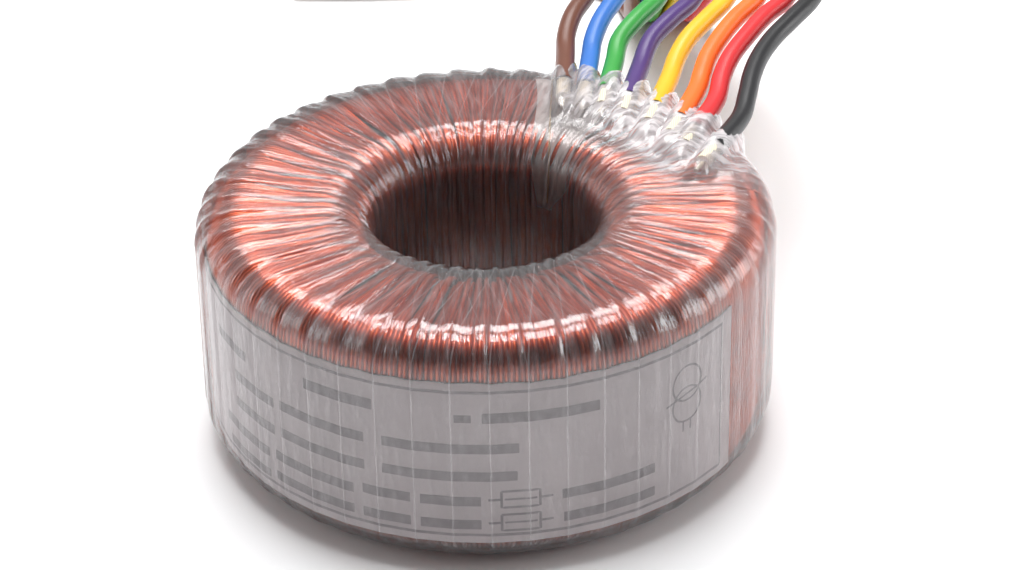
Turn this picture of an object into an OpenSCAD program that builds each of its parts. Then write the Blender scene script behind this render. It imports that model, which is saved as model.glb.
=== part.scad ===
// Small toroidal mains transformer: a wound strip-steel ring core, two primary and two secondary
// windings in enamelled copper, a paper label and a clear film wrap, with eight flying leads.
// It lies on its flat underside. The axis of the hole is Z and the underside is at Z = 0.

/* [Core] */
// Outer diameter of the wound steel core
core_od = 53.2; // [50:0.2:60]
// Diameter of the hole in the core
core_id = 39.2; // [36:0.2:42]
// Height of the core, the width of its steel strip
core_h = 17.8; // [14:0.2:26]
// Rounding of the core's edges
core_edge = 0.5; // [0.3:0.1:0.8]

/* [Insulation] */
// Thickness of the core's tape on its outer side
core_tape_outer = 0.3; // [0.2:0.05:0.6]
// Thickness of the core's tape in the hole, where its turns crowd
core_tape_bore = 0.5; // [0.3:0.05:0.8]
// Thickness of the core's tape on the flat faces
core_tape_face = 0.4; // [0.2:0.05:0.6]
// Thickness of the tape over the primaries on the outer side
barrier_outer = 0.3; // [0.2:0.05:0.6]
// Thickness of the tape over the primaries in the hole
barrier_bore = 0.6; // [0.4:0.05:1]
// Thickness of the tape over the primaries on the flat faces
barrier_face = 0.3; // [0.2:0.05:0.6]

/* [Windings] */
// Build of one primary winding on the outer side
primary_outer = 0.8; // [0.4:0.1:1.2]
// Build of one primary winding in the hole
primary_bore = 1.6; // [1:0.1:2]
// Build of one primary winding on the flat faces
primary_face = 1; // [0.6:0.1:1.6]
// Build of one secondary winding on the outer side
secondary_outer = 0.7; // [0.5:0.1:1.2]
// Build of one secondary winding in the hole
secondary_bore = 1.3; // [0.9:0.1:1.8]
// Build of one secondary winding on the flat faces
secondary_face = 1; // [0.6:0.1:1.6]
// Ridges round the top secondary, each a few turns side by side
turn_ridges = 72; // [48:8:88]
// Depth of the grooves between those ridges
turn_groove = 0.22; // [0.1:0.02:0.3]

/* [Film wrap] */
// Thickness of the film wrap on the outer wall, in the valleys of its pleats
film_outer = 0.55; // [0.45:0.05:1]
// Thickness of the film wrap in the hole
film_bore = 0.7; // [0.5:0.05:1.2]
// Thickness of the film wrap on the top, in the valleys of its pleats
film_top = 0.55; // [0.45:0.05:1]
// Thickness of the film wrap underneath, where it is pressed flat
film_base = 0.6; // [0.4:0.05:1]
// Turns of tape round the ring, each with its own pleat
tape_turns = 48; // [36:4:56]
// Height of a pleat at the shoulder
pleat_shoulder = 0.7; // [0.3:0.05:0.8]
// Height of a pleat on the top face
pleat_top = 0.5; // [0.2:0.05:0.6]
// Height of a pleat on the outer wall
pleat_wall = 0.25; // [0.1:0.05:0.4]
// How far the film stands off the wall away from the front of the label
film_slack = 0.7; // [0.2:0.1:0.8]
// How far the film rises over the roots of the leads
lead_rise = 1.95; // [1.8:0.05:2.4]

/* [Label] */
// Thickness of the paper label
label_t = 0.15; // [0.1:0.05:0.3]
// Height of the label
label_h = 19.8; // [12:0.2:20.4]
// Height of the label's lower edge above the underside
label_base = 4; // [3.6:0.1:6]
// Left end of the label, in degrees from the front
label_left = -88; // [-90:1:-60]
// Right end of the label, in degrees from the front
label_right = 57; // [40:1:70]

/* [Lead pad] */
// Thickness of the insulating pad under the leads
pad_t = 0.15; // [0.1:0.05:0.3]
// Side of the pad nearer the back, in degrees from the back
pad_from = 10; // [6:1:14]
// Other side of the pad, in degrees from the back
pad_to = 37; // [34:1:39]
// How far the pad hangs down the outer wall and the hole, below the top of the windings
pad_drop = 5.4; // [4:0.2:6]

/* [Leads] */
// Diameter of a lead over its insulation
lead_d = 2.2; // [1.6:0.1:2.3]
// Diameter of the tinned strands at the end of a lead
strand_d = 0.9; // [0.5:0.1:1.2]
// Length of the stripped and tinned end
strand_l = 6; // [4:0.5:10]
// Diameter of the sleeve over a soldered joint
joint_d = 1.7; // [1.2:0.1:2]
// Length of the sleeve over a soldered joint
joint_l = 3.6; // [3:0.2:4.4]
// Diameter of the winding's own end where it enters the sleeve
tail_d = 0.5; // [0.3:0.1:0.8]
// Length of that end outside the sleeve
tail_l = 2; // [1:0.2:2.4]

/* [Clearances] */
// Gap between the ridges of the top secondary and the film
ridge_gap = 0.02; // [0:0.01:0.05]
// Gap round a lead or a sleeve in the film
lead_gap = 0.05; // [0.02:0.01:0.1]

/* [Hidden] */
LEADS = ["brown", "blue", "green", "violet", "yellow", "orange", "red", "black"];
$fn = 96;

// A skin is one layer's outside: outer radius, hole radius, height, radius of the top outer corner,
// radius of the bottom outer corner, radius of both hole corners.
OUT = 0;
BORE = 1;
HIGH = 2;
TOP_ROUND = 3;
BASE_ROUND = 4;
BORE_ROUND = 5;
core_skin = [core_od / 2, core_id / 2, core_h, core_edge, core_edge, core_edge];
core_tape_skin = grown(core_skin, core_tape_outer, core_tape_bore, core_tape_face);
primary_1_skin = grown(core_tape_skin, primary_outer, primary_bore, primary_face);
primary_2_skin = grown(primary_1_skin, primary_outer, primary_bore, primary_face);
barrier_skin = grown(primary_2_skin, barrier_outer, barrier_bore, barrier_face);
secondary_1_skin = grown(barrier_skin, secondary_outer, secondary_bore, secondary_face);
secondary_2_skin = grown(secondary_1_skin, secondary_outer, secondary_bore, secondary_face);
hole_r = secondary_2_skin[BORE] - film_bore;
middle_z = film_base + secondary_2_skin[HIGH] / 2;
winding_top = middle_z + secondary_2_skin[HIGH] / 2;
// The film is formed a little into the hole and below the underside, then cut true there.
cut_spare = 0.4;
film_skin = [
    secondary_2_skin[OUT] + film_outer,
    hole_r - cut_spare,
    secondary_2_skin[HIGH] + film_top + film_base + cut_spare,
    secondary_2_skin[TOP_ROUND] + film_outer,
    secondary_2_skin[BASE_ROUND] + film_outer,
    secondary_2_skin[BORE_ROUND] - cut_spare
];
film_middle_z = winding_top + film_top - film_skin[HIGH] / 2;
label_r = secondary_2_skin[OUT];
reach = 2 * film_skin[OUT];

function grown(skin, outer, bore, face) = [
    skin[OUT] + outer, skin[BORE] - bore, skin[HIGH] + 2 * face,
    skin[TOP_ROUND] + outer, skin[BASE_ROUND] + face, skin[BORE_ROUND] + face
];
function mix(a, b, t) = a + (b - a) * t;
function eased(t) = let (s = max(0, min(1, t))) s * s * (3 - 2 * s);

// The outline of a skin's section, anticlockwise from the middle of the outer wall.
// Each point is radius, height, and the outward direction there as an angle above level.
function corner(r, z, radius, from, steps) = [
    for (i = [0 : steps])
        let (a = from + 90 * i / steps) [r + radius * cos(a), z + radius * sin(a), a]
];
function between(a, b, steps) = [for (i = [1 : steps - 1]) mix(a, b, i / steps)];
function outline(skin, z) = let (
    high = z + skin[HIGH] / 2,
    low = z - skin[HIGH] / 2,
    top_out = corner(skin[OUT] - skin[TOP_ROUND], high - skin[TOP_ROUND], skin[TOP_ROUND], 0, 4),
    top_in = corner(skin[BORE] + skin[BORE_ROUND], high - skin[BORE_ROUND], skin[BORE_ROUND], 90, 3),
    low_in = corner(skin[BORE] + skin[BORE_ROUND], low + skin[BORE_ROUND], skin[BORE_ROUND], 180, 3),
    low_out = corner(skin[OUT] - skin[BASE_ROUND], low + skin[BASE_ROUND], skin[BASE_ROUND], 270, 2)
) concat(
    top_out, between(top_out[4], top_in[0], 3), top_in, low_in,
    between(low_in[3], low_out[0], 2), low_out
);

// Triangles of a closed ring of rings of points, each ring the same number of points, where the
// rings run anticlockwise seen from above.
function ring_faces(rings, points) = [
    for (i = [0 : rings - 1], j = [0 : points - 1])
        let (
            a = i * points + j,
            b = i * points + (j + 1) % points,
            c = (i + 1) % rings * points + j,
            d = (i + 1) % rings * points + (j + 1) % points
        )
        each [[a, b, c], [b, d, c]]
];

// One layer's section, with true round corners, and the ring turned from it.
module section(skin) {
    out_in = max(skin[TOP_ROUND], skin[BASE_ROUND]);
    mid_r = (skin[OUT] + skin[BORE]) / 2;
    translate([skin[BORE] + skin[BORE_ROUND], -skin[HIGH] / 2])
        square([skin[OUT] - skin[BORE] - skin[BORE_ROUND] - out_in, skin[HIGH]]);
    translate([skin[BORE], -skin[HIGH] / 2 + skin[BORE_ROUND]])
        square([mid_r - skin[BORE], skin[HIGH] - 2 * skin[BORE_ROUND]]);
    translate([mid_r, -skin[HIGH] / 2 + skin[BASE_ROUND]])
        square([skin[OUT] - mid_r, skin[HIGH] - skin[BASE_ROUND] - skin[TOP_ROUND]]);
    translate([skin[OUT] - out_in - 0.01, 0])
        square([out_in - skin[TOP_ROUND] + 0.01, skin[HIGH] / 2]);
    for (side = [-1, 1])
        translate([skin[BORE] + skin[BORE_ROUND], side * (skin[HIGH] / 2 - skin[BORE_ROUND])])
            circle(skin[BORE_ROUND]);
    translate([skin[OUT] - skin[TOP_ROUND], skin[HIGH] / 2 - skin[TOP_ROUND]])
        circle(skin[TOP_ROUND]);
    translate([skin[OUT] - skin[BASE_ROUND], skin[BASE_ROUND] - skin[HIGH] / 2])
        circle(skin[BASE_ROUND]);
}

module layer(outside, inside) {
    translate([0, 0, middle_z])
        rotate_extrude()
            difference() {
                section(outside);
                section(inside);
            }
}

module core() {
    color("gray")
        translate([0, 0, middle_z])
            rotate_extrude() section(core_skin);
}

module core_tape() {
    color("khaki") layer(core_tape_skin, core_skin);
}

module primary_winding_1() {
    color("sienna") layer(primary_1_skin, core_tape_skin);
}

module primary_winding_2() {
    color("chocolate") layer(primary_2_skin, primary_1_skin);
}

module barrier_tape() {
    color("palegoldenrod") layer(barrier_skin, primary_2_skin);
}

module secondary_winding_1() {
    color("peru") layer(secondary_1_skin, barrier_skin);
}

// The top secondary, whose turns lie side by side as ridges that crowd together in the hole.
module secondary_winding_2() {
    crest = grown(secondary_2_skin, -ridge_gap, -ridge_gap, -ridge_gap);
    path = outline(crest, middle_z);
    rings = 2 * turn_ridges;
    points = [
        for (i = [0 : rings - 1], p = path)
            let (
                a = 360 * i / rings,
                sunk = turn_groove * (i % 2),
                r = p[0] - sunk * cos(p[2]),
                z = p[1] - sunk * sin(p[2])
            )
            [r * cos(a), r * sin(a), z]
    ];
    color("coral")
        difference() {
            polyhedron(points, ring_faces(rings, len(path)));
            translate([0, 0, middle_z])
                rotate_extrude() section(secondary_1_skin);
        }
}

// The paper label, a sheet bent round the front of the windings under the film.
module label() {
    color("whitesmoke")
        translate([0, 0, label_base])
            rotate([0, 0, label_left - 90])
                rotate_extrude(angle = label_right - label_left)
                    translate([label_r, 0]) square([label_t, label_h]);
}

// The insulating pad, laid over the top of the windings from the outer wall into the hole.
module lead_pad() {
    pad_skin = grown(secondary_2_skin, pad_t, pad_t, pad_t);
    color("gainsboro")
        translate([0, 0, middle_z])
            rotate([0, 0, 90 - pad_to])
                rotate_extrude(angle = pad_to - pad_from)
                    intersection() {
                        difference() {
                            section(pad_skin);
                            section(secondary_2_skin);
                        }
                        translate([0, secondary_2_skin[HIGH] / 2 - pad_drop])
                            square([reach, pad_drop + pad_t]);
                    }
}

// How high the film stands over the lead roots, from 0 to 1, by degrees from the back.
function over_leads(turn) = eased((turn - 1) / 14) * eased((102 - turn) / 14);

// How far the film stands out from its skin at a point of the outline. The pleat is a ramp with
// a steep side, and its height depends on the face: none in the hole, most at the shoulder.
PLEAT = [0, 1, 0.5];
PLEAT_STEPS = len(PLEAT);
function pleat_height(level) =
    level >= 0 && level <= 45 ? mix(pleat_wall, pleat_shoulder, level / 45)
    : level > 45 && level <= 90 ? mix(pleat_shoulder, pleat_top, (level - 45) / 45)
    : level > 90 && level < 180 ? mix(pleat_top, 0, (level - 90) / 60 > 1 ? 1 : (level - 90) / 60)
    : level > 300 ? mix(pleat_top, pleat_wall, (level - 300) / 60)
    : 0;
function lead_lift(level, r) =
    level > 0 && level < 180
        ? eased(level / 50) * eased((r - film_skin[BORE] - film_skin[BORE_ROUND]) / 4) * lead_rise
        : 0;
function slack(turn) = film_slack * eased((abs(turn) - 50) / 35);

// The clear film wrap: tape wound round the ring, pleated over the shoulder and the top, smooth
// in the hole, and pressed flat where the transformer rests.
module film_wrap() {
    path = outline(film_skin, film_middle_z);
    count = len(path);
    rings = tape_turns * PLEAT_STEPS;
    points = [
        for (i = [0 : rings - 1], j = [0 : count - 1])
            let (
                p = path[j],
                from_back = 360 * i / rings,
                from_front = from_back > 180 ? from_back - 360 : from_back,
                turn = from_front > 0 ? 180 - from_front : -180 - from_front,
                level = p[2] > 359 ? 0 : p[2],
                covered = over_leads(from_back),
                phase = PLEAT[(i + floor(PLEAT_STEPS * j / count)) % PLEAT_STEPS],
                out = phase * pleat_height(level) * (1 - 0.6 * covered)
                    + covered * lead_lift(level, p[0])
                    + (level < 60 || level > 300 ? slack(turn) * cos(level) : 0),
                r = p[0] + out * cos(level),
                z = p[1] + out * sin(level)
            )
            [r * sin(from_back), r * cos(from_back), z]
    ];
    color("lightpink", 0.6)
        difference() {
            polyhedron(points, [for (f = ring_faces(rings, count)) [f[0], f[2], f[1]]]);
            translate([0, 0, middle_z])
                rotate_extrude() section(secondary_2_skin);
            cylinder(h = 2 * reach, r = hole_r, center = true);
            translate([0, 0, -reach]) cylinder(h = reach, r = reach);
            label();
            lead_pad();
            for (route = ROUTES) lead_way(route);
        }
}

// The way that a lead, its joint and the winding's end need through the film.
module lead_way(route) {
    along(route[0], route[1])
        cylinder(h = norm(route[1] - route[0]) * 2, d = lead_d + 2 * lead_gap);
    along(route[0], route[1])
        translate([0, 0, -joint_l - tail_l - lead_gap])
            cylinder(h = joint_l + tail_l + 2 * lead_gap, d = joint_d + 2 * lead_gap);
}

// Turns Z to run from one point towards another, and moves there.
module along(from, to) {
    d = to - from;
    translate(from)
        rotate([0, acos(d[2] / norm(d)), atan2(d[1], d[0])])
            children();
}

// The soldered joint under the film: a sleeve at the root of the lead, with the winding's end.
module joint(route) {
    color("ivory")
        along(route[0], route[1]) {
            translate([0, 0, -joint_l]) cylinder(h = joint_l, d = joint_d);
            translate([0, 0, -joint_l - tail_l]) cylinder(h = tail_l, d = tail_d);
        }
}

// The tinned strands that stick out of the far end of a lead.
module strands(route) {
    last = route[len(route) - 1];
    before = route[len(route) - 2];
    color("silver")
        along(last, 2 * last - before) cylinder(h = strand_l, d = strand_d);
}

// A smooth curve through the points of a route, as Catmull and Rom drew it.
ROUTE_STEPS = 2;
function spline(a, b, c, d, t) =
    (2 * b + (c - a) * t + (2 * a - 5 * b + 4 * c - d) * t * t + (3 * b - a - 3 * c + d) * t * t * t) / 2;
function smooth(route) = let (last = len(route) - 1) concat(
    [
        for (i = [0 : last - 1], k = [0 : ROUTE_STEPS - 1])
            spline(
                i > 0 ? route[i - 1] : 2 * route[0] - route[1],
                route[i],
                route[i + 1],
                i + 1 < last ? route[i + 2] : 2 * route[last] - route[last - 1],
                k / ROUTE_STEPS
            )
    ],
    [route[last]]
);

// A lead: a tube of eight sides swept along its route, with each ring square to the route.
LEAD_SIDES = 8;
function unit(v) = v / norm(v);
function heading(path, i) =
    i == 0 ? unit(path[1] - path[0])
    : i == len(path) - 1 ? unit(path[i] - path[i - 1])
    : unit(path[i + 1] - path[i - 1]);
function ring_at(centre, ahead, radius) = let (
    side = unit(cross(ahead, [0, 0, 1])),
    up = cross(side, ahead)
) [
    for (k = [0 : LEAD_SIDES - 1])
        let (a = 360 * (k + 0.5) / LEAD_SIDES)
        centre + radius * (cos(a) * side + sin(a) * up)
];
module lead(route, tint) {
    ends = [route[0], route[len(route) - 1]];
    fine = smooth(route);
    path = [for (i = [0 : len(fine) - 1]) if (i != 1) fine[i]];
    rings = len(path);
    last_ahead = unit(ends[1] - route[len(route) - 2]);
    points = [
        for (i = [0 : rings - 1])
            each ring_at(
                path[i],
                i == rings - 1 ? last_ahead : i < 2 ? unit(route[1] - route[0]) : heading(path, i),
                lead_d / 2
            )
    ];
    sides = [
        for (i = [0 : rings - 2], k = [0 : LEAD_SIDES - 1])
            let (
                a = i * LEAD_SIDES + k,
                b = i * LEAD_SIDES + (k + 1) % LEAD_SIDES
            )
            each [[a, b, a + LEAD_SIDES], [b, b + LEAD_SIDES, a + LEAD_SIDES]]
    ];
    root = [for (k = [0 : LEAD_SIDES - 1]) LEAD_SIDES - 1 - k];
    tip = [for (k = [0 : LEAD_SIDES - 1]) (rings - 1) * LEAD_SIDES + k];
    color(tint) polyhedron(points, concat([root], sides, [tip]));
}

// The middle of each lead: its root under the film, the edge of the film, then through the air
// and down to the surface behind, where it turns and lies.
ROUTES = [
    [[9.2, 23, 29.1], [9.6, 30, 29.1], [9.8, 33.5, 29.7], [10.7, 37, 30.6], [12.4, 41, 31],
     [14.4, 47, 31.2], [15.9, 53.8, 30.5], [17, 60.6, 28], [18, 66.6, 23.8], [18.8, 72.2, 18.6],
     [19.4, 77.9, 13], [19.8, 83.1, 8.2], [20, 88, 4.4], [20, 94.5, 1.4], [18.8, 99, 1.1],
     [15.5, 102.3, 1.1], [11, 103.5, 1.1], [3, 103.9, 1.1], [-6, 103.5, 1.1], [-16, 103.3, 1.1],
     [-25.5, 103.8, 1.1]],
    [[11.6, 22, 29.1], [12.4, 29, 29.1], [12.9, 32.5, 29.7], [14, 36, 30.5], [15.8, 40, 31.1],
     [18, 46, 31.5], [19.3, 53.8, 31.1], [20, 60.6, 29.1], [20.6, 66.6, 25.4], [20.9, 72.2, 20.7],
     [21.2, 77.9, 15.4], [21.3, 83.1, 10.8], [21.2, 88, 6.9], [21.2, 94.5, 3.6], [19.8, 99.6, 3.2],
     [16.1, 103.3, 3.1], [11, 104.7, 3.1], [3, 105.1, 3.1], [-6, 104.7, 3.1], [-15, 104.6, 3.1],
     [-23, 104.9, 3.1]],
    [[13.9, 20.8, 29.1], [15.1, 27.7, 29.1], [15.9, 31.7, 29.9], [18, 35.3, 30.7],
     [20.6, 39.7, 31], [22.4, 46, 31.1], [23.2, 53.8, 30.4], [23.4, 60.6, 28], [23.4, 66.6, 23.8],
     [23.3, 72.2, 18.6], [23.1, 77.9, 13], [22.8, 83.1, 8.2], [22.5, 88, 4.4], [22.4, 94.5, 1.4],
     [20.9, 100.2, 1.1], [16.7, 104.4, 1.1], [11, 105.9, 1.1], [3, 106.3, 1.1], [-6, 105.9, 1.1],
     [-12, 105.9, 1.1], [-18.5, 106.1, 1.1]],
    [[16.3, 19.1, 29.1], [17.9, 26, 29.1], [19.4, 31, 30.1], [21.9, 34.9, 30.8],
     [24.7, 39.2, 31.1], [26.7, 46, 31.5], [27.2, 53.8, 31.1], [26.8, 60.6, 29.1], [26.1, 66.6, 25.4],
     [25.4, 72.2, 20.7], [24.8, 77.9, 15.4], [24.2, 83.1, 10.8], [23.8, 88, 6.9], [23.6, 94.5, 3.6],
     [21.9, 100.8, 3.2], [17.3, 105.4, 3.1], [11, 107.1, 3.1], [3, 107.5, 3.1], [-6, 107.1, 3.1],
     [-15, 107.3, 3.1]],
    [[19.2, 16.7, 29.1], [21.1, 23.4, 29.1], [22.2, 27.4, 29.7], [23.7, 30.8, 30.4],
     [26, 34.6, 30.8], [28.6, 39.2, 31], [30.6, 46, 31.1], [30.9, 53.8, 30.4], [30, 60.6, 28],
     [28.6, 66.6, 23.8], [27.4, 72.2, 18.6], [26.4, 77.9, 13], [25.5, 83.1, 8.2], [25, 88, 4.4],
     [24.8, 94.5, 1.4], [23, 101.4, 1.1], [17.9, 106.5, 1.1], [11, 108.3, 1.1], [3, 108.7, 1.1],
     [-9.5, 108.4, 1.1]],
    [[21.7, 13.9, 29.1], [24, 20.5, 29.1], [24.8, 23.6, 29.5], [25.7, 26.8, 30],
     [27.3, 30.5, 30.5], [29.5, 34.7, 30.9], [32.2, 39.2, 31.1], [34.4, 46, 31.5],
     [34.6, 53.8, 31.1], [33.4, 60.6, 29.1], [31.5, 66.6, 25.4], [29.7, 72.2, 20.7], [28.2, 77.9, 15.4],
     [27.1, 83.1, 10.8], [26.3, 88, 6.9], [26, 94.5, 3.6], [24, 102, 3.2], [18.5, 107.5, 3.1],
     [11, 109.5, 3.1], [3, 109.9, 3.1], [-5, 109.7, 3.1]],
    [[23.3, 11.5, 29.1], [26, 18, 29.1], [27, 22.5, 29.7], [28.3, 26.3, 30.3], [30.3, 30.3, 30.7],
     [32.8, 34.8, 31], [35.6, 39.2, 31], [37.7, 46, 31.1], [38, 53.8, 30.4], [36.7, 60.6, 28],
     [34.3, 66.6, 23.8], [32, 72.2, 18.6], [30, 77.9, 13], [28.4, 83.1, 8.2], [27.5, 88, 4.4],
     [27.2, 94.5, 1.4], [25, 102.6, 1.1], [19.1, 108.5, 1.1], [11, 110.7, 1.1], [1.5, 111.3, 1.1]],
    [[25.3, 7.5, 29.1], [28.4, 13.8, 29.1], [29.5, 18, 29.6], [30.3, 21.8, 30.1],
     [31.5, 25.7, 30.5], [33.4, 29.8, 30.8], [36, 34, 31.1], [38.7, 38.9, 31.2], [40.9, 46, 31.6],
     [41.3, 53.8, 31.1], [40.2, 60.6, 29], [37.8, 66.6, 25], [35, 72.2, 20], [32.8, 77.9, 14.2],
     [31.3, 83.1, 8.8], [30.2, 88, 4.6], [29.6, 94.5, 1.4], [27.1, 103.8, 1.1], [20.3, 110.6, 1.1],
     [10.5, 113.3, 1.1]]
];
TINTS = ["saddlebrown", "royalblue", "green", "indigo", "gold", "orangered", "crimson", "#202020"];

core();
core_tape();
primary_winding_1();
primary_winding_2();
barrier_tape();
secondary_winding_1();
secondary_winding_2();
label();
lead_pad();
film_wrap();
for (i = [0 : len(LEADS) - 1]) {
    lead(ROUTES[i], TINTS[i]);
    strands(ROUTES[i]);
    joint(ROUTES[i]);
}
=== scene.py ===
import math

import bpy
from mathutils import Matrix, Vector
import numpy as np


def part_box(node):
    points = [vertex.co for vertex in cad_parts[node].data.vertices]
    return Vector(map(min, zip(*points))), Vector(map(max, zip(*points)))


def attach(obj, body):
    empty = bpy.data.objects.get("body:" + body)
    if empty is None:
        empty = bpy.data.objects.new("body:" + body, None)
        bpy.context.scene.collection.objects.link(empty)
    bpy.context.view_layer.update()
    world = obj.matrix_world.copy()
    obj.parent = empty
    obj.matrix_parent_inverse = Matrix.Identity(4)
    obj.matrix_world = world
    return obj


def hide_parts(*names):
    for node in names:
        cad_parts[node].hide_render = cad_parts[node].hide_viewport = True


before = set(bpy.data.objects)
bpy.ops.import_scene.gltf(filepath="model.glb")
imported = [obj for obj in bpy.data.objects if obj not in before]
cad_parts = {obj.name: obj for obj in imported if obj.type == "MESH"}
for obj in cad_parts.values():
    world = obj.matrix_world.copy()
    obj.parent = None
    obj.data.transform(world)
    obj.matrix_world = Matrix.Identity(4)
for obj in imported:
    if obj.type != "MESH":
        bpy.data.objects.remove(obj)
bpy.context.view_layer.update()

MM = 0.001


# The camera: in front of the label and 32 degrees above the surface, 0.38 m away, with a slight
# roll. Its long lens is shifted a little, so the leads run off the top of the picture.
elevation = math.radians(31.92)
roll = math.radians(1.228)
distance = 0.3816
aim = np.array([0, 0, 0.01394])
back = np.array([0, -math.cos(elevation), math.sin(elevation)])
level_right = np.array([1, 0, 0])
level_up = np.array([0, math.sin(elevation), math.cos(elevation)])
right = math.cos(roll) * level_right - math.sin(roll) * level_up
up = math.sin(roll) * level_right + math.cos(roll) * level_up
lens = bpy.data.cameras.new("camera")
lens.sensor_width = 36
lens.lens = 122.805882
lens.shift_x = 0.02239216
lens.shift_y = 0.02121569
lens.clip_start = 0.01
lens.clip_end = 20
camera = bpy.data.objects.new("camera", lens)
bpy.context.scene.collection.objects.link(camera)
columns = np.column_stack([right, up, back, aim + distance * back])
camera.matrix_world = Matrix(columns.tolist() + [[0, 0, 0, 1]])
bpy.context.scene.camera = camera


def linear(tint):
    """A colour written as sRGB hex, such as "C86A3A", as linear red, green, blue and 1."""
    parts = [int(tint[i:i + 2], 16) / 255 for i in (0, 2, 4)]
    return [p / 12.92 if p <= 0.04045 else ((p + 0.055) / 1.055) ** 2.4 for p in parts] + [1]


def material(name):
    """A new node material: its tree and its output's surface socket."""
    made = bpy.data.materials.new(name)
    made.use_nodes = True
    made.node_tree.nodes.clear()
    out = made.node_tree.nodes.new("ShaderNodeOutputMaterial")
    return made, made.node_tree, out.inputs["Surface"]


def node(tree, kind, settings=None, **sockets):
    """Adds a node. A socket gets a value, or a link where it is given another node's output."""
    made = tree.nodes.new("ShaderNode" + kind)
    for name, value in (settings or {}).items():
        setattr(made, name, value)
    for name, value in sockets.items():
        key = int(name[1:]) if name[0] == "_" and name[1:].isdigit() else name.replace("_", " ")
        if isinstance(value, bpy.types.NodeSocket):
            tree.links.new(value, made.inputs[key])
        else:
            made.inputs[key].default_value = value
    return made


def ramp(tree, factor, *stops):
    """A colour ramp through (position, colour) stops."""
    made = node(tree, "ValToRGB", Fac=factor)
    while len(made.color_ramp.elements) < len(stops):
        made.color_ramp.elements.new(0.5)
    for element, (position, colour) in zip(made.color_ramp.elements, stops):
        element.position = position
        element.color = linear(colour) if isinstance(colour, str) else (colour,) * 3 + (1,)
    return made.outputs["Color"]


def piece(name, points, faces, finish, smooth=True):
    """A mesh object of points in metres, with the same number of corners on every face."""
    points = np.asarray(points, float).reshape(-1, 3)
    faces = np.asarray(faces, np.int32)
    mesh = bpy.data.meshes.new(name)
    mesh.vertices.add(len(points))
    mesh.vertices.foreach_set("co", points.ravel())
    mesh.loops.add(faces.size)
    mesh.loops.foreach_set("vertex_index", faces.ravel())
    mesh.polygons.add(len(faces))
    mesh.polygons.foreach_set("loop_start", np.arange(len(faces), dtype=np.int32) * faces.shape[1])
    mesh.polygons.foreach_set("use_smooth", np.full(len(faces), smooth))
    mesh.update(calc_edges=True)
    mesh.materials.append(finish)
    made = bpy.data.objects.new(name, mesh)
    bpy.context.scene.collection.objects.link(made)
    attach(made, "root")
    return made


def grid(rows, columns, closed_rows=False, closed_columns=False):
    """Quads between neighbours in a rows by columns array of points, turned outwards."""
    index = np.arange(rows * columns).reshape(rows, columns)
    if closed_rows:
        index = np.vstack([index, index[:1]])
    if closed_columns:
        index = np.hstack([index, index[:, :1]])
    return np.stack([index[:-1, :-1], index[1:, :-1], index[1:, 1:], index[:-1, 1:]], -1).reshape(-1, 4)


def curve_through(points, steps):
    """Points on the smooth curve that Catmull and Rom drew through the given ones."""
    points = np.asarray(points, float)
    first, last = 2 * points[0] - points[1], 2 * points[-1] - points[-2]
    padded = np.vstack([first, points, last])
    t = (np.arange(steps) / steps)[:, None, None]
    a, b, c, d = padded[:-3], padded[1:-2], padded[2:-1], padded[3:]
    bent = (2 * b + (c - a) * t + (2 * a - 5 * b + 4 * c - d) * t**2 + (3 * b - a - 3 * c + d) * t**3) / 2
    return np.vstack([bent.transpose(1, 0, 2).reshape(-1, 3), points[-1:]])


def tube(path, radii, sides):
    """Rings of points round a path, each square to it, and the quads between them."""
    ahead = np.gradient(path, axis=0)
    ahead /= np.linalg.norm(ahead, axis=1)[:, None]
    side = np.cross(ahead, [0, 0, 1])
    side /= np.linalg.norm(side, axis=1)[:, None]
    over = np.cross(side, ahead)
    turn = np.arange(sides) * 2 * math.pi / sides
    radii = np.broadcast_to(radii, len(path))[:, None, None]
    rings = path[:, None] + radii * (
        np.cos(turn)[None, :, None] * side[:, None] + np.sin(turn)[None, :, None] * over[:, None]
    )
    faces = grid(len(path), sides, closed_columns=True)
    return rings, faces[:, ::-1]


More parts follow.
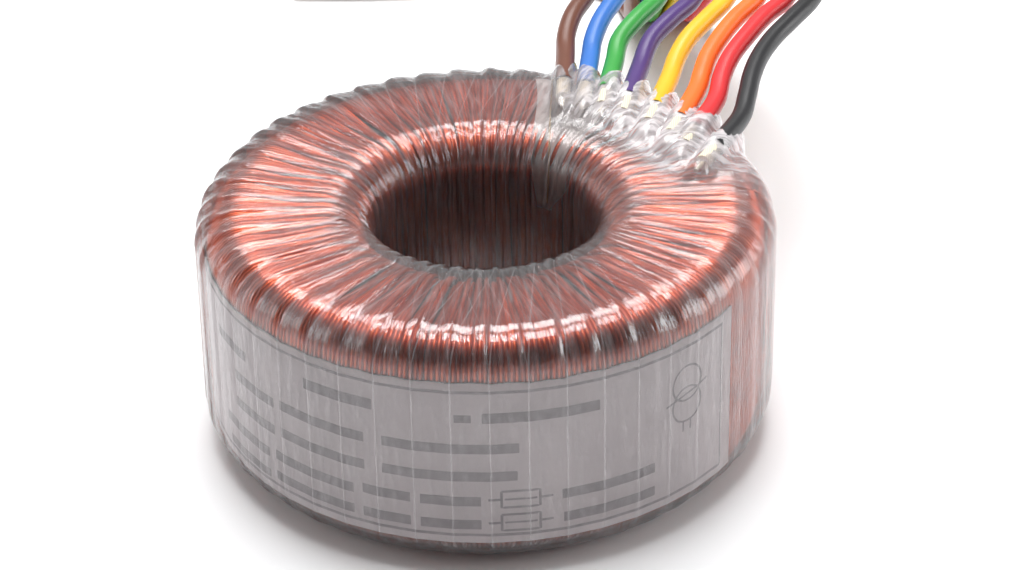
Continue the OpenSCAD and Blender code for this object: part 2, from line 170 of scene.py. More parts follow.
# The eight flying leads: stranded wire in 2.2 mm PVC, out of the film over the back, down in an arc
# to the surface behind, and round to the left. The routes are those of the CAD solids.
LEAD_D = 2.2 * MM
LEAD_SIDES = 20
CUT_EDGE = 0.1 * MM
STRAND_R = 0.15 * MM
STRAND_SPACING = 0.29 * MM
STRAND_LENGTH = 6.3 * MM
STRAND_START = 0.4 * MM
ROUTES = {
    "brown": [[9.2, 23, 29.1], [9.6, 30, 29.1], [9.8, 33.5, 29.7], [10.7, 37, 30.6], [12.4, 41, 31],
        [14.4, 47, 31.2], [15.9, 53.8, 30.5], [17, 60.6, 28], [18, 66.6, 23.8], [18.8, 72.2, 18.6],
        [19.4, 77.9, 13], [19.8, 83.1, 8.2], [20, 88, 4.4], [20, 94.5, 1.4], [18.8, 99, 1.1],
        [15.5, 102.3, 1.1], [11, 103.5, 1.1], [3, 103.9, 1.1], [-6, 103.5, 1.1], [-16, 103.3, 1.1],
        [-25.5, 103.8, 1.1]],
    "blue": [[11.6, 22, 29.1], [12.4, 29, 29.1], [12.9, 32.5, 29.7], [14, 36, 30.5], [15.8, 40, 31.1],
        [18, 46, 31.5], [19.3, 53.8, 31.1], [20, 60.6, 29.1], [20.6, 66.6, 25.4], [20.9, 72.2, 20.7],
        [21.2, 77.9, 15.4], [21.3, 83.1, 10.8], [21.2, 88, 6.9], [21.2, 94.5, 3.6], [19.8, 99.6, 3.2],
        [16.1, 103.3, 3.1], [11, 104.7, 3.1], [3, 105.1, 3.1], [-6, 104.7, 3.1], [-15, 104.6, 3.1],
        [-23, 104.9, 3.1]],
    "green": [[13.9, 20.8, 29.1], [15.1, 27.7, 29.1], [15.9, 31.7, 29.9], [18, 35.3, 30.7],
        [20.6, 39.7, 31], [22.4, 46, 31.1], [23.2, 53.8, 30.4], [23.4, 60.6, 28], [23.4, 66.6, 23.8],
        [23.3, 72.2, 18.6], [23.1, 77.9, 13], [22.8, 83.1, 8.2], [22.5, 88, 4.4], [22.4, 94.5, 1.4],
        [20.9, 100.2, 1.1], [16.7, 104.4, 1.1], [11, 105.9, 1.1], [3, 106.3, 1.1], [-6, 105.9, 1.1],
        [-12, 105.9, 1.1], [-18.5, 106.1, 1.1]],
    "violet": [[16.3, 19.1, 29.1], [17.9, 26, 29.1], [19.4, 31, 30.1], [21.9, 34.9, 30.8],
        [24.7, 39.2, 31.1], [26.7, 46, 31.5], [27.2, 53.8, 31.1], [26.8, 60.6, 29.1], [26.1, 66.6, 25.4],
        [25.4, 72.2, 20.7], [24.8, 77.9, 15.4], [24.2, 83.1, 10.8], [23.8, 88, 6.9], [23.6, 94.5, 3.6],
        [21.9, 100.8, 3.2], [17.3, 105.4, 3.1], [11, 107.1, 3.1], [3, 107.5, 3.1], [-6, 107.1, 3.1],
        [-15, 107.3, 3.1]],
    "yellow": [[19.2, 16.7, 29.1], [21.1, 23.4, 29.1], [22.2, 27.4, 29.7], [23.7, 30.8, 30.4],
        [26, 34.6, 30.8], [28.6, 39.2, 31], [30.6, 46, 31.1], [30.9, 53.8, 30.4], [30, 60.6, 28],
        [28.6, 66.6, 23.8], [27.4, 72.2, 18.6], [26.4, 77.9, 13], [25.5, 83.1, 8.2], [25, 88, 4.4],
        [24.8, 94.5, 1.4], [23, 101.4, 1.1], [17.9, 106.5, 1.1], [11, 108.3, 1.1], [3, 108.7, 1.1],
        [-9.5, 108.4, 1.1]],
    "orange": [[21.7, 13.9, 29.1], [24, 20.5, 29.1], [24.8, 23.6, 29.5], [25.7, 26.8, 30],
        [27.3, 30.5, 30.5], [29.5, 34.7, 30.9], [32.2, 39.2, 31.1], [34.4, 46, 31.5],
        [34.6, 53.8, 31.1], [33.4, 60.6, 29.1], [31.5, 66.6, 25.4], [29.7, 72.2, 20.7], [28.2, 77.9, 15.4],
        [27.1, 83.1, 10.8], [26.3, 88, 6.9], [26, 94.5, 3.6], [24, 102, 3.2], [18.5, 107.5, 3.1],
        [11, 109.5, 3.1], [3, 109.9, 3.1], [-5, 109.7, 3.1]],
    "red": [[23.3, 11.5, 29.1], [26, 18, 29.1], [27, 22.5, 29.7], [28.3, 26.3, 30.3], [30.3, 30.3, 30.7],
        [32.8, 34.8, 31], [35.6, 39.2, 31], [37.7, 46, 31.1], [38, 53.8, 30.4], [36.7, 60.6, 28],
        [34.3, 66.6, 23.8], [32, 72.2, 18.6], [30, 77.9, 13], [28.4, 83.1, 8.2], [27.5, 88, 4.4],
        [27.2, 94.5, 1.4], [25, 102.6, 1.1], [19.1, 108.5, 1.1], [11, 110.7, 1.1], [1.5, 111.3, 1.1]],
    "black": [[25.3, 7.5, 29.1], [28.4, 13.8, 29.1], [29.5, 18, 29.6], [30.3, 21.8, 30.1],
        [31.5, 25.7, 30.5], [33.4, 29.8, 30.8], [36, 34, 31.1], [38.7, 38.9, 31.2], [40.9, 46, 31.6],
        [41.3, 53.8, 31.1], [40.2, 60.6, 29], [37.8, 66.6, 25], [35, 72.2, 20], [32.8, 77.9, 14.2],
        [31.3, 83.1, 8.8], [30.2, 88, 4.6], [29.6, 94.5, 1.4], [27.1, 103.8, 1.1], [20.3, 110.6, 1.1],
        [10.5, 113.3, 1.1]],
}
PVC = {"brown": "6A3A26", "blue": "2E6FC2", "green": "2F9A3A", "violet": "4A2C72", "yellow": "E8B818",
       "orange": "F0701E", "red": "D8242A", "black": "17171A"}

tinned, tree, surface = material("tinned_copper_strands")
grain = node(tree, "TexNoise", Scale=2500, Detail=3)
tone = ramp(tree, grain.outputs["Fac"], (0.3, "A9A8A6"), (0.7, "D6D4D0"))
shader = node(tree, "BsdfPrincipled", Base_Color=tone, Metallic=1.0, Roughness=0.32)
tree.links.new(shader.outputs["BSDF"], surface)

for colour, route in ROUTES.items():
    pvc, tree, surface = material("pvc_" + colour)
    place = node(tree, "TexCoord").outputs["Object"]
    cloud = node(tree, "TexNoise", Vector=place, Scale=300, Detail=4)
    grain = node(tree, "TexNoise", Vector=place, Scale=4500, Detail=2)
    bump = node(tree, "Bump", Strength=0.25, Distance=0.00004, Height=grain.outputs["Fac"])
    tint = linear(PVC[colour])
    darker = [0.86 * c for c in tint[:3]] + [1]
    lighter = [min(1, 1.1 * c) for c in tint[:3]] + [1]
    shade = node(tree, "Mix", {"data_type": "RGBA"}, _0=cloud.outputs["Fac"], _6=darker, _7=lighter)
    rough = node(tree, "MapRange", Value=cloud.outputs["Fac"], To_Min=0.3, To_Max=0.42)
    shader = node(tree, "BsdfPrincipled", Base_Color=shade.outputs[2], Roughness=rough.outputs["Result"],
                  IOR=1.53, Normal=bump.outputs["Normal"])
    tree.links.new(shader.outputs["BSDF"], surface)

    path = curve_through(route, 6) * MM
    end = path[-1] - path[-2]
    end /= np.linalg.norm(end)
    # The cut end: the insulation turns in over a small edge to the strands.
    spine = np.vstack([path, path[-1] + np.outer([0.8 * CUT_EDGE, CUT_EDGE, CUT_EDGE + 1e-6], end)])
    radii = np.full(len(spine), LEAD_D / 2)
    radii[-3:] = [LEAD_D / 2 - 0.03 * MM, LEAD_D / 2 - 0.12 * MM, 0.4 * MM]
    rings, faces = tube(spine, radii, LEAD_SIDES)
    rings[-3:] -= CUT_EDGE * end
    lead = piece("lead_wire_" + colour, rings, faces, pvc)
    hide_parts("lead_" + colour)

    # Seven tinned strands, twisted together.
    twist = np.linspace(0, 1, 13)
    side = np.cross(end, [0, 0, 1])
    side /= np.linalg.norm(side)
    over = np.cross(side, end)
    all_rings, all_faces = [], []
    for k in range(7):
        turn = k * math.pi / 3 + twist * 4
        off = 0 if k == 6 else STRAND_SPACING
        core_line = path[-1] - end * STRAND_START + np.outer(twist, end) * STRAND_LENGTH
        line = core_line + off * (np.outer(np.cos(turn), side) + np.outer(np.sin(turn), over))
        rings, faces = tube(line, np.where(twist == 1, 0.08 * MM, STRAND_R), 7)
        all_faces.append(faces + sum(r.size // 3 for r in all_rings))
        all_rings.append(rings.reshape(-1, 3))
    bare = piece("strands_of_" + colour, np.vstack(all_rings), np.vstack(all_faces), tinned)
    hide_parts("strands_" + colour)


def section(out, bore, low, high, top_round, base_round, bore_round, count):
    """A closed section with round corners, as count evenly spaced points anticlockwise from the outer
    wall's foot of the top corner: radius, height, outward direction in radians, and length along."""
    inner = bore + bore_round
    corners = [(out - top_round, high - top_round, top_round, 0), (inner, high - bore_round, bore_round, 90),
               (inner, low + bore_round, bore_round, 180), (out - base_round, low + base_round, base_round, 270)]
    fine = []
    for r, z, radius, start in corners:
        turn = np.radians(np.linspace(start, start + 90, 25))
        fine.append(np.column_stack([r + radius * np.cos(turn), z + radius * np.sin(turn), turn]))
    fine = np.vstack(fine + [fine[0][:1] + [0, 0, 2 * math.pi]])
    along = np.concatenate([[0], np.cumsum(np.linalg.norm(np.diff(fine[:, :2], axis=0), axis=1))])
    at = np.arange(count) * along[-1] / count
    return [np.interp(at, along, fine[:, k]) for k in range(3)] + [at]


def ease(x):
    """From 0 to 1 with level ends, as x goes from 0 to 1."""
    x = np.clip(x, 0, 1)
    return x * x * (3 - 2 * x)


# The top secondary: 345 turns of 0.5 mm enamelled wire, side by side on the outer wall. They have
# less than half that room in the hole, so two turns in three sink behind the others on the way in.
TURNS = 345
WIRE_R = 0.27
WIRE_POINTS = 64
WIRE_EDGES = [-98, -52, 0, 52, 98]
WINDING_BORE = 12.7
TOP_ROUND = 4.1
OTHER_ROUND = 5.2
LAYER_STEP = 0.42
draw = np.random.default_rng(7)
low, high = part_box("secondary_winding_2")
reach = high[0] / MM
r, z, level, along = section(reach, WINDING_BORE, low[2] / MM, high[2] / MM,
                             TOP_ROUND, OTHER_ROUND, OTHER_ROUND, WIRE_POINTS)
number = np.arange(TURNS)
layer = (number % 3 + draw.integers(0, 2, TURNS) * (number % 2)) % 3
crowded = ease((28.5 - r) / 10)
sunk = WIRE_R + crowded[None, :] * (layer * LAYER_STEP)[:, None]
phase = draw.uniform(0, 2 * math.pi, (TURNS, 3))
path_turn = 2 * math.pi * along / (along[-1] + along[1])
stray = sum(np.sin(k * path_turn[None, :] + phase[:, k - 1:k]) / k for k in (1, 2, 3))
bunch = np.sin(2 * math.pi * number / 23 + 2 * np.sin(number / 17))[:, None]
azimuth = 2 * math.pi * number[:, None] / TURNS + (0.05 + 0.16 * crowded) * (stray * 0.5 + bunch) / r
across = np.radians(WIRE_EDGES)
normal = np.cos(level)[None, :, None], np.sin(level)[None, :, None]
lift = WIRE_R * np.cos(across) - sunk[:, :, None]
r_wire = r[None, :, None] + lift * normal[0]
z_wire = z[None, :, None] + lift * normal[1]
shift = WIRE_R * np.sin(across)
a = azimuth[:, :, None]
points = np.stack([r_wire * np.cos(a) - shift * np.sin(a),
                   r_wire * np.sin(a) + shift * np.cos(a), z_wire + 0 * a], -1)
one = grid(WIRE_POINTS, len(WIRE_EDGES), closed_rows=True)
faces = (one[None] + (number * WIRE_POINTS * len(WIRE_EDGES))[:, None, None]).reshape(-1, 4)

copper, tree, surface = material("enamelled_copper_wire")
place = node(tree, "TexCoord").outputs["Object"]
cloud = node(tree, "TexNoise", Vector=place, Scale=220, Detail=3)
tone = ramp(tree, cloud.outputs["Fac"], (0.3, "B8501F"), (0.7, "E07A40"))
shader = node(tree, "BsdfPrincipled", Base_Color=tone, Metallic=0.75, Roughness=0.33, Coat_Weight=0.6,
              Coat_Roughness=0.12, Coat_Tint=linear("F0A070"))
tree.links.new(shader.outputs["BSDF"], surface)
wires = piece("secondary_wires", points * MM, faces, copper)
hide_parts("secondary_winding_2")


# The paper label: a strip of coated paper round the front, pressed into flats by the turns of tape.
# Its print is a border with plain bars, two fuse boxes and two rings in place of any lettering.
TAPE_TURNS = 48
TURN_PITCH = 360 / TAPE_TURNS
LABEL_R = 30.36
LABEL_T = 0.1
LABEL_FROM, LABEL_TO = -88, 57
LABEL_ROWS, LABEL_COLUMNS = 12, 581
label_low, label_high = (v[2] / MM for v in (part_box("label")[0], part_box("label")[1]))


def on_label(turn, height, off=0.0):
    """A point on the label by degrees from the front and height, off millimetres out from it."""
    bend = np.radians(np.mod(turn, TURN_PITCH) - TURN_PITCH / 2)
    r = LABEL_R * math.cos(math.radians(TURN_PITCH / 2)) / np.cos(bend) + 0.06 + off
    a = np.radians(turn)
    return np.stack([r * np.sin(a), -r * np.cos(a), height + 0 * a], -1)


paper, tree, surface = material("coated_label_paper")
place = node(tree, "TexCoord").outputs["Object"]
fibre = node(tree, "TexNoise", Vector=place, Scale=1800, Detail=5)
cloud = node(tree, "TexNoise", Vector=place, Scale=90, Detail=2)
bump = node(tree, "Bump", Strength=0.2, Distance=0.00003, Height=fibre.outputs["Fac"])
tone = ramp(tree, cloud.outputs["Fac"], (0.3, "CFCACF"), (0.7, "DAD6DA"))
shader = node(tree, "BsdfPrincipled", Base_Color=tone, Roughness=0.5, Normal=bump.outputs["Normal"])
tree.links.new(shader.outputs["BSDF"], surface)
turn = np.linspace(LABEL_FROM, LABEL_TO, LABEL_COLUMNS)
notch = 0.12 * draw.normal(0, 1, TAPE_TURNS)[(np.floor(turn / TURN_PITCH) % TAPE_TURNS).astype(int)]
top = label_high - 0.1 + notch * 0.5 - 0.25 * np.abs(np.mod(turn, TURN_PITCH) / TURN_PITCH - 0.5)
height = label_low + np.linspace(0, 1, LABEL_ROWS)[:, None] * (top - label_low)[None, :]
outside = on_label(turn[None, :] + 0 * height, height)
inside = on_label(turn[None, :] + 0 * height, height, -LABEL_T)
flat = grid(LABEL_ROWS, LABEL_COLUMNS)
label = piece("paper_label", np.vstack([outside.reshape(-1, 3), inside.reshape(-1, 3)]) * MM,
              np.vstack([flat[:, ::-1], flat + LABEL_ROWS * LABEL_COLUMNS]), paper)
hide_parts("label")

ink, tree, surface = material("label_ink")
place = node(tree, "TexCoord").outputs["Object"]
worn = node(tree, "TexNoise", Vector=place, Scale=900, Detail=3)
tone = ramp(tree, worn.outputs["Fac"], (0.3, "807A80"), (0.7, "98929A"))
shader = node(tree, "BsdfPrincipled", Base_Color=tone, Roughness=0.5)
tree.links.new(shader.outputs["BSDF"], surface)
strokes = []


def stroke(line, wide, off=0.03):
    """Ink along a line of (degrees, height) points, wide millimetres across."""
    line = np.asarray(line, float)
    steps = np.maximum(1, np.ceil(np.abs(np.diff(line[:, 0])) / 0.6).astype(int))
    runs = [a + (b - a) * (np.arange(n) / n)[:, None] for a, b, n in zip(line[:-1], line[1:], steps)]
    dense = np.vstack(runs + [line[-1:]])
    flatten = math.radians(1) * LABEL_R
    ahead = np.gradient(dense * [flatten, 1], axis=0)
    ahead /= np.linalg.norm(ahead, axis=1)[:, None]
    over = np.column_stack([-ahead[:, 1] / flatten, ahead[:, 0]]) * wide / 2
    sides = np.stack([dense + over, dense - over], 1)
    strokes.append(on_label(sides[..., 0], sides[..., 1], off))


# The border, then the bars as start and stop in degrees, middle height and height in millimetres.
stroke([(-86.5, 22.6), (53.2, 22.6)], 0.34)
stroke([(53.2, 22.75), (53.2, 5.0)], 0.3)
stroke([(-86.5, 5.0), (53.2, 5.0)], 0.34)
rows = [(-39, -23.3, 19.9, 2.1), (-6.9, -3.6, 19.4, 1.5), (-1.5, 21.8, 19.5, 2.0), (-21.5, 5.6, 15.7, 1.9),
        (-21.6, 5.2, 12.3, 1.9), (-70, -57, 18.6, 1.9), (-62, -48, 15.3, 1.9), (-46, -25.4, 15.6, 1.9),
        (-62, -48, 11.9, 1.9), (-46, -25.4, 12.2, 1.9), (-67, -50, 8.6, 1.9), (-48, -28, 8.9, 1.9),
        (-26, -16, 9.2, 1.9), (-14, -2, 9.2, 1.9), (-66, -50, 5.9, 1.6), (-48, -28, 6.3, 1.8),
        (-26, -16, 6.3, 1.9), (-14, -2, 6.3, 1.9), (14, 34.3, 9.4, 1.9), (14.3, 34.3, 6.5, 1.9)]
for start, stop, middle, tall in rows:
    stroke([(start, middle), (stop, middle)], tall * 0.62)
for middle in (9.4, 6.5):
    stroke([(-0.6, middle), (2, middle)], 0.28)
    stroke([(9.6, middle), (12.2, middle)], 0.28)
    stroke([(2, middle + 1), (9.6, middle + 1), (9.6, middle - 1), (2, middle - 1), (2, middle + 1)], 0.28)
    stroke([(2.6, middle), (9, middle)], 0.24)
ring = np.radians(np.linspace(0, 360, 49))
for centre in (18.1, 15.5):
    stroke(np.column_stack([42.6 + 3.9 * np.cos(ring), centre + 2.1 * np.sin(ring)]), 0.24)
stroke([(37, 16.2), (48.4, 17.4)], 0.24)
stroke([(41.6, 13.4), (41.6, 12.2)], 0.24)
stroke([(43.6, 13.4), (43.6, 12.2)], 0.24)
offsets = np.cumsum([0] + [s.size // 3 for s in strokes])
print_faces = np.vstack([grid(len(s), 2)[:, ::-1] + at for s, at in zip(strokes, offsets)])
printed = piece("label_print", np.vstack([s.reshape(-1, 3) for s in strokes]) * MM, print_faces, ink)


# The insulating pad: a strip of pale crumpled tape over the windings where the leads start, with its
# point hanging in the hole and a beige thread laid along it.
PAD_ROWS, PAD_COLUMNS = 60, 24
THREAD_R = 0.11 * MM
pad_tape, tree, surface = material("pale_pad_tape")
place = node(tree, "TexCoord").outputs["Object"]
cloud = node(tree, "TexNoise", Vector=place, Scale=260, Detail=5)
tone = ramp(tree, cloud.outputs["Fac"], (0.3, "B9B4B4"), (0.7, "D9D6D6"))
bump = node(tree, "Bump", Strength=0.6, Distance=0.0002, Height=cloud.outputs["Fac"])
body = node(tree, "BsdfPrincipled", Base_Color=tone, Roughness=0.4, Normal=bump.outputs["Normal"])
clear = node(tree, "BsdfTransparent")
seen = node(tree, "MapRange", Value=cloud.outputs["Fac"], From_Min=0.3, From_Max=0.7, To_Min=0.5, To_Max=0.85)
both = node(tree, "MixShader", Fac=seen.outputs["Result"], _1=clear.outputs[0], _2=body.outputs[0])
tree.links.new(both.outputs[0], surface)


def over_winding(x, along_y, off):
    """A point on the winding's top and hole wall, at x and a length along the meridian from the
    outer wall, off millimetres out from it."""
    edge = np.array([[30.3, 22.4], [30.3, 23.9], [29.8, 25.6], [28.4, 27.1], [26.1, 27.8], [22, 27.8],
                     [18.4, 27.8], [15.9, 27.1], [13.6, 25.2], [12.9, 23.6], [12.7, 22.4], [12.7, 20]])
    edge = curve_through(np.column_stack([edge, 0 * edge[:, 0]]), 5)[:, :2]
    length = np.concatenate([[0], np.cumsum(np.linalg.norm(np.diff(edge, axis=0), axis=1))])
    heading = np.gradient(edge, axis=0)
    heading /= np.linalg.norm(heading, axis=1)[:, None]
    rr, zz = np.interp(along_y, length, edge[:, 0]), np.interp(along_y, length, edge[:, 1])
    nr, nz = np.interp(along_y, length, heading[:, 1]), -np.interp(along_y, length, heading[:, 0])
    rr, zz = rr + nr * off, zz + nz * off
    return np.stack([x, np.sqrt(np.maximum(rr**2 - x**2, 0)), zz], -1)


v = np.linspace(0, 1, PAD_ROWS)[:, None]
u = np.linspace(0, 1, PAD_COLUMNS)[None, :]
left_edge = 5.6 + 0.6 * np.sin(5 * v) + 0.8 * ease((v - 0.75) / 0.25)
right_edge = 14.5 - 5.5 * ease((v - 0.25) / 0.6) - 1.6 * ease((v - 0.85) / 0.15)
crumple = 0.05 * np.sin(9 * u + 7 * v) + 0.04 * np.sin(23 * u - 11 * v)
pad_points = over_winding(left_edge + (right_edge - left_edge) * u, 2 + v * 24.5 + 0 * u, 0.14 + crumple)
pad = piece("pad_strip", pad_points * MM, grid(PAD_ROWS, PAD_COLUMNS)[:, ::-1], pad_tape)
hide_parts("lead_pad")

thread, tree, surface = material("beige_thread")
place = node(tree, "TexCoord").outputs["Object"]
weave = node(tree, "TexWave", Vector=place, Scale=900, Distortion=2)
tone = ramp(tree, weave.outputs["Fac"], (0.2, "B7A078"), (0.8, "D8C49A"))
shader = node(tree, "BsdfPrincipled", Base_Color=tone, Roughness=0.6)
tree.links.new(shader.outputs["BSDF"], surface)
run = np.linspace(0, 1, 40)
line = over_winding(8.2 - 1.3 * run, 3 + run * 22.5, 0.32)
rings, faces = tube(line * MM, THREAD_R, 6)
beige = piece("pad_thread", rings, faces, thread)


# The clear film: 48 turns of 12 mm polyester tape, wound round the ring. It lies in flats on the outer
# wall, in leaning pleats over the shoulder and the top, and in fine wrinkles down the hole.
AROUND = TAPE_TURNS * 16
LONG = 110
FILM_R, FILM_BORE = 30.75, 12.05
FILM_LOW, FILM_HIGH = 0.02, 28.35
HALF_TAPE = 6
MOST_OUT = 2.1
UV_LENGTH = 150
r, z, level, along = section(FILM_R, FILM_BORE, FILM_LOW, FILM_HIGH, 4.65, 5.75, 5.0, LONG)
degrees = np.degrees(level)
polar = 2 * math.pi * (np.arange(AROUND)[:, None] + 0.5) / AROUND
spread = np.arcsin(HALF_TAPE / r) - math.asin(HALF_TAPE / FILM_R)
pitch = 2 * math.pi / TAPE_TURNS
leading = (polar - spread) / pitch
trailing = (polar + spread) / pitch
count = (polar - 0.45 * spread) / pitch
which = np.floor(count).astype(int) % TAPE_TURNS
part = count - np.floor(count)
tall = draw.uniform(0.45, 1.0, TAPE_TURNS)
lean = draw.uniform(0.72, 0.9, TAPE_TURNS)
from_front = np.degrees(np.mod(polar + math.pi / 2 + math.pi, 2 * math.pi) - math.pi)
strong = 0.55 + 0.45 * np.exp(-((from_front + 90) / 70) ** 2) + 0.3 * np.exp(-((from_front - 120) / 40) ** 2)
size = np.interp(degrees, [0, 15, 40, 90, 91, 120, 180, 269, 270, 300, 330, 360],
                 [0.1, 0.3, 0.62, 0.5, 0.5, 0.3, 0.06, 0.02, 0.02, 0.12, 0.22, 0.1])
size = size * np.where(np.abs(degrees - 90) < 1, 0.35 + 0.65 * ease((r - 15) / 9), 1)
crest = lean[which]
rise = ease(part / crest) ** 1.2
fall = 1 - ease((part - crest) / (1 - crest))
pleat = np.where(part < crest, rise, fall) * tall[which] * size * strong
bend = (np.mod(leading, 1) - 0.5) * pitch
facet = -r * (1 - np.cos(bend)) * np.clip(np.cos(level), 0, 1) * 1.3
wrinkle = 0
for waves, strength, tilt in [(97, 0.030, 0.6), (151, 0.022, -0.9), (233, 0.014, 0.5), (61, 0.04, -0.4)]:
    wave = np.sin(waves * polar + tilt * along / 6 + draw.uniform(0, 6) + 1.7 * np.sin(5 * polar + along / 15))
    wrinkle = wrinkle + strength * wave
wrinkle = wrinkle * np.interp(degrees, [0, 30, 90, 130, 180, 269, 270, 360],
                              [0.12, 0.5, 0.8, 1.2, 1.4, 1.2, 0.1, 0.12])
on_wall = (degrees < 60) | (degrees > 300)
slack = 0.6 * ease((np.abs(from_front) - 50) / 35) * np.clip(np.cos(level), 0, 1) * on_wall
out = pleat + facet + wrinkle + slack

# Over the root of each lead and its joint the film stands up in a tight fold.
r_top, z_top = r + 0 * polar, z + 0 * polar
x_film, y_film = r_top * np.cos(polar), r_top * np.sin(polar)
fold = 0
for route in ROUTES.values():
    root, edge = np.array(route[0][:2]), np.array(route[1][:2])
    ahead = (edge - root) / np.linalg.norm(edge - root)
    start = root - 5.6 * ahead
    forward = (x_film - start[0]) * ahead[0] + (y_film - start[1]) * ahead[1]
    sideways = np.abs((x_film - start[0]) * ahead[1] - (y_film - start[1]) * ahead[0])
    ridge = 1.7 + 0.35 * ease((forward - 4.5) / 1.5)
    tent = np.exp(-(sideways / 1.35) ** 4) * ease((forward + 2.5) / 3) * ridge
    fold = np.maximum(fold, tent)
upper = (degrees > 5) & (degrees < 175)
fold = fold * upper * ease(np.sin(level) * 1.3)
root_cover = np.exp(-((np.degrees(polar) - 38) / 30) ** 4) * ease((r - 16) / 7) * upper
out = np.maximum(out, fold) + 0.15 * fold * np.sin(40 * polar + along)
out = np.minimum(out, MOST_OUT)
r_film = r + out * np.cos(level)
z_film = np.maximum(z + out * np.sin(level), FILM_LOW)
z_film = np.minimum(z_film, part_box("film_wrap")[1][2] / MM - 0.01)
points = np.stack([r_film * np.cos(polar), r_film * np.sin(polar), z_film], -1)

film_clear, tree, surface = material("clear_polyester_film")
place = node(tree, "TexCoord").outputs["Object"]
uv_lead = node(tree, "UVMap", {"uv_map": "leading"}).outputs["UV"]
uv_trail = node(tree, "UVMap", {"uv_map": "trailing"}).outputs["UV"]


def edge_line(uv, half_width):
    """From 0 to 1 near the whole numbers of a UV map's first coordinate."""
    at = node(tree, "SeparateXYZ", Vector=uv).outputs["X"]
    near = node(tree, "Math", {"operation": "PINGPONG"}, _0=at, _1=0.5).outputs[0]
    return node(tree, "MapRange", Value=near, From_Min=half_width, From_Max=0.0).outputs["Result"]


flat_place = node(tree, "VectorMath", {"operation": "MULTIPLY"}, _0=place, _1=(1, 1, 0)).outputs["Vector"]
unit_place = node(tree, "VectorMath", {"operation": "NORMALIZE"}, _0=flat_place).outputs["Vector"]
length_on = node(tree, "SeparateXYZ", Vector=uv_lead).outputs["Y"]
level_part = node(tree, "CombineXYZ", Z=length_on).outputs["Vector"]
flow = node(tree, "VectorMath", {"operation": "ADD"}, _0=unit_place, _1=level_part).outputs["Vector"]
covered = node(tree, "SeparateXYZ", Vector=node(tree, "UVMap", {"uv_map": "cover"}).outputs["UV"]).outputs["X"]
streaks = node(tree, "TexNoise", Vector=flow, Scale=38, Detail=5, Roughness=0.6).outputs["Fac"]
creases = node(tree, "TexNoise", Vector=flow, Scale=120, Detail=3).outputs["Fac"]
line_a = edge_line(uv_lead, 0.03)
line_b = edge_line(uv_trail, 0.022)
milky = node(tree, "MapRange", Value=streaks, From_Min=0.45, From_Max=0.8, To_Min=0.04, To_Max=0.2)
crinkled = node(tree, "MapRange", Value=streaks, From_Min=0.4, From_Max=0.6, To_Min=0.3, To_Max=0.75)
add = {"operation": "MULTIPLY_ADD"}
milky = node(tree, "Math", add, _0=covered, _1=crinkled.outputs["Result"], _2=milky.outputs["Result"]).outputs[0]
seam = node(tree, "Math", add, _0=line_a, _1=0.16, _2=milky).outputs[0]
seams = node(tree, "Math", add | {"use_clamp": True}, _0=line_b, _1=0.1, _2=seam).outputs[0]
rough_height = node(tree, "Math", add, _0=creases, _1=0.35, _2=streaks).outputs[0]
bump = node(tree, "Bump", Strength=0.5, Distance=0.00025, Height=rough_height).outputs["Normal"]
clear = node(tree, "BsdfTransparent", Color=linear("FBF6F4"))
haze = node(tree, "BsdfDiffuse", Color=linear("E8E2E4"), Normal=bump)
through = node(tree, "MixShader", Fac=seams, _1=clear.outputs[0], _2=haze.outputs[0])
gloss = node(tree, "BsdfGlossy", Color=(1, 1, 1, 1), Roughness=0.07, Normal=bump)
mirror = node(tree, "Fresnel", IOR=1.75, Normal=bump)
both = node(tree, "MixShader", Fac=mirror.outputs[0], _1=through.outputs[0], _2=gloss.outputs[0])
tree.links.new(both.outputs[0], surface)
film = piece("film_wrap_skin", points * MM, grid(AROUND, LONG, True, True), film_clear)
for name, turns, round_it in (("leading", leading, TAPE_TURNS), ("trailing", trailing, TAPE_TURNS),
                              ("cover", root_cover, 0)):
    layer_uv = film.data.uv_layers.new(name=name)
    value = np.stack([turns + 0 * along, along / UV_LENGTH + 0 * turns], -1)
    wide = np.concatenate([value, value[:1] + [round_it, 0]], 0)
    wide = np.concatenate([wide, wide[:, :1] + [0, (along[-1] + along[1]) / UV_LENGTH]], 1)
    corner = np.stack([wide[:-1, :-1], wide[1:, :-1], wide[1:, 1:], wide[:-1, 1:]], 2)
    layer_uv.data.foreach_set("uv", corner.reshape(-1, 2).ravel())
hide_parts("film_wrap")


# The pieces under the windings and the film keep their CAD shapes: steel strip, polyester tape, the
# lower windings and the sleeved joints.
def repaint(nodes, finish):
    for name in nodes:
        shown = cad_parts[name]
        for slot in shown.material_slots:
            slot.material = finish


strip, tree, surface = material("wound_steel_strip")
place = node(tree, "TexCoord").outputs["Object"]
turns = node(tree, "TexWave", {"wave_type": "RINGS", "rings_direction": "Z"}, Vector=place, Scale=900)
tone = ramp(tree, turns.outputs["Fac"], (0.2, "55565A"), (0.8, "86878B"))
shader = node(tree, "BsdfPrincipled", Base_Color=tone, Metallic=0.9, Roughness=0.45)
tree.links.new(shader.outputs["BSDF"], surface)
repaint(["core"], strip)

tape, tree, surface = material("yellow_polyester_tape")
place = node(tree, "TexCoord").outputs["Object"]
cloud = node(tree, "TexNoise", Vector=place, Scale=300, Detail=3)
tone = ramp(tree, cloud.outputs["Fac"], (0.3, "C9B27A"), (0.7, "DCC890"))
shader = node(tree, "BsdfPrincipled", Base_Color=tone, Roughness=0.4)
tree.links.new(shader.outputs["BSDF"], surface)
repaint(["core_tape", "barrier_tape"], tape)

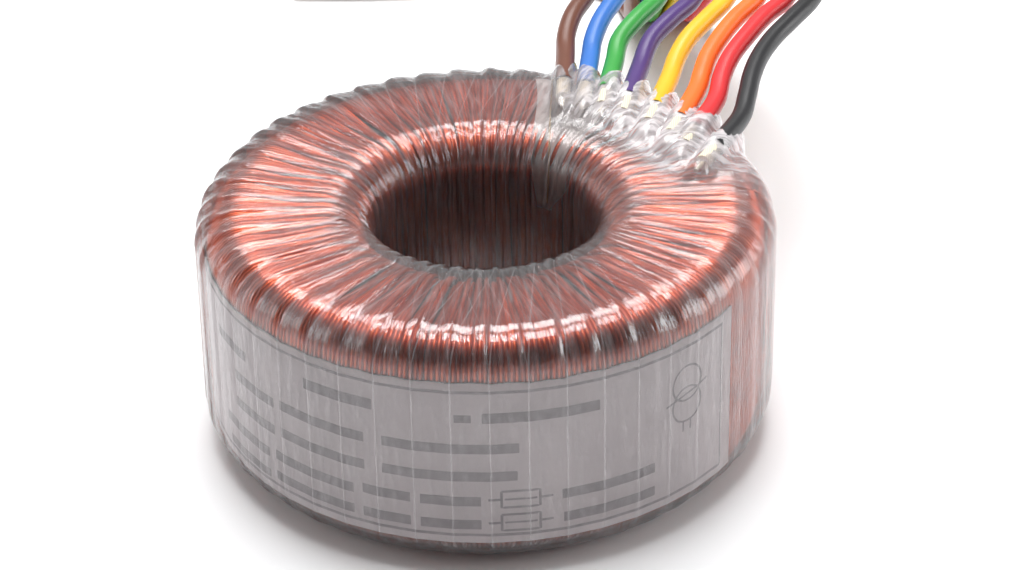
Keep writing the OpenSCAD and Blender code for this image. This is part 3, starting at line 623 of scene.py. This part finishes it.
# The lower turns are the same enamelled copper as the top wires, painted darker: a painted shade for the gaps
# between the top turns.
copper_with_painted_shade, tree, surface = material("lower_copper_painted_shade")
place = node(tree, "TexCoord").outputs["Object"]
cloud = node(tree, "TexNoise", Vector=place, Scale=900, Detail=4)
tone = ramp(tree, cloud.outputs["Fac"], (0.3, "6A2C16"), (0.7, "9A4A26"))
shader = node(tree, "BsdfPrincipled", Base_Color=tone, Metallic=0.7, Roughness=0.4)
tree.links.new(shader.outputs["BSDF"], surface)
repaint(["primary_winding_1", "primary_winding_2", "secondary_winding_1"], copper_with_painted_shade)

sleeve, tree, surface = material("woven_joint_sleeve")
place = node(tree, "TexCoord").outputs["Object"]
weave = node(tree, "TexWave", Vector=place, Scale=1500, Distortion=1)
tone = ramp(tree, weave.outputs["Fac"], (0.2, "C9BFA8"), (0.8, "E6DECB"))
shader = node(tree, "BsdfPrincipled", Base_Color=tone, Roughness=0.6)
tree.links.new(shader.outputs["BSDF"], surface)
repaint(["joint_" + c for c in ROUTES], sleeve)


# The studio: a pale floor, white softboxes above, behind and at the sides, and a world that is white
# to the camera and shaded from the front, as by a dark screen there.
floor_points = [(-3, -3, 0), (3, -3, 0), (3, 3, 0), (-3, 3, 0)]
pale, tree, surface = material("pale_floor")
place = node(tree, "TexCoord").outputs["Object"]
cloud = node(tree, "TexNoise", Vector=place, Scale=3, Detail=2)
tone = ramp(tree, cloud.outputs["Fac"], (0.3, "F2F2F3"), (0.7, "F6F6F7"))
shader = node(tree, "BsdfPrincipled", Base_Color=tone, Roughness=0.7)
tree.links.new(shader.outputs["BSDF"], surface)
mesh = bpy.data.meshes.new("floor")
mesh.from_pydata(floor_points, [], [(0, 1, 2, 3)])
mesh.materials.append(pale)
floor = bpy.data.objects.new("floor", mesh)
bpy.context.scene.collection.objects.link(floor)


def softbox(name, place, toward, wide, high, watts, tint="FFFFFF"):
    """An area light at a place, facing a point."""
    lamp = bpy.data.lights.new(name, "AREA")
    lamp.shape = "RECTANGLE"
    lamp.size, lamp.size_y = wide, high
    lamp.energy = watts
    lamp.color = linear(tint)[:3]
    made = bpy.data.objects.new(name, lamp)
    bpy.context.scene.collection.objects.link(made)
    ahead = np.array(toward, float) - place
    ahead /= np.linalg.norm(ahead)
    side = np.cross(ahead, [0, 0, 1.0])
    side = side / np.linalg.norm(side) if np.linalg.norm(side) > 1e-6 else np.array([1.0, 0, 0])
    over = np.cross(side, ahead)
    made.matrix_world = Matrix(np.column_stack([side, over, -ahead, place]).tolist() + [[0, 0, 0, 1]])


softbox("softbox_back", (-0.05, 0.42, 0.8), (0, 0, 0.02), 0.75, 0.3, 6.5)
softbox("softbox_top", (0.0, 0.0, 1.0), (0, 0, 0), 0.4, 0.3, 5)
softbox("softbox_left", (-0.85, 0.0, 0.3), (0, 0, 0.02), 0.6, 0.4, 1.5)
softbox("softbox_right", (0.85, 0.05, 0.25), (0, 0, 0.02), 0.6, 0.4, 3.5)

world = bpy.data.worlds.new("studio")
world.use_nodes = True
tree = world.node_tree
tree.nodes.clear()
look = node(tree, "TexCoord").outputs["Generated"]
parts = node(tree, "SeparateXYZ", Vector=look)
front = node(tree, "MapRange", Value=parts.outputs["Y"], From_Min=-0.1, From_Max=-0.4, To_Min=0.0, To_Max=1.0)
above = node(tree, "MapRange", Value=parts.outputs["Z"], From_Min=0.12, From_Max=0.3, To_Min=0.0, To_Max=1.0)
screen = node(tree, "Math", {"operation": "MULTIPLY"}, _0=front.outputs["Result"], _1=above.outputs["Result"])
bright = node(tree, "MapRange", Value=screen.outputs[0], To_Min=0.62, To_Max=0.04)
shade = node(tree, "Background", Color=(1, 1, 1, 1), Strength=bright.outputs["Result"])
white = node(tree, "Background", Color=(1, 1, 1, 1), Strength=1.0)
seen = node(tree, "LightPath").outputs["Is Camera Ray"]
mixed = node(tree, "MixShader", Fac=seen, _1=shade.outputs[0], _2=white.outputs[0])
out_node = node(tree, "OutputWorld", Surface=mixed.outputs[0])
bpy.context.scene.world = world
bpy.context.scene.view_settings.view_transform = "Standard"
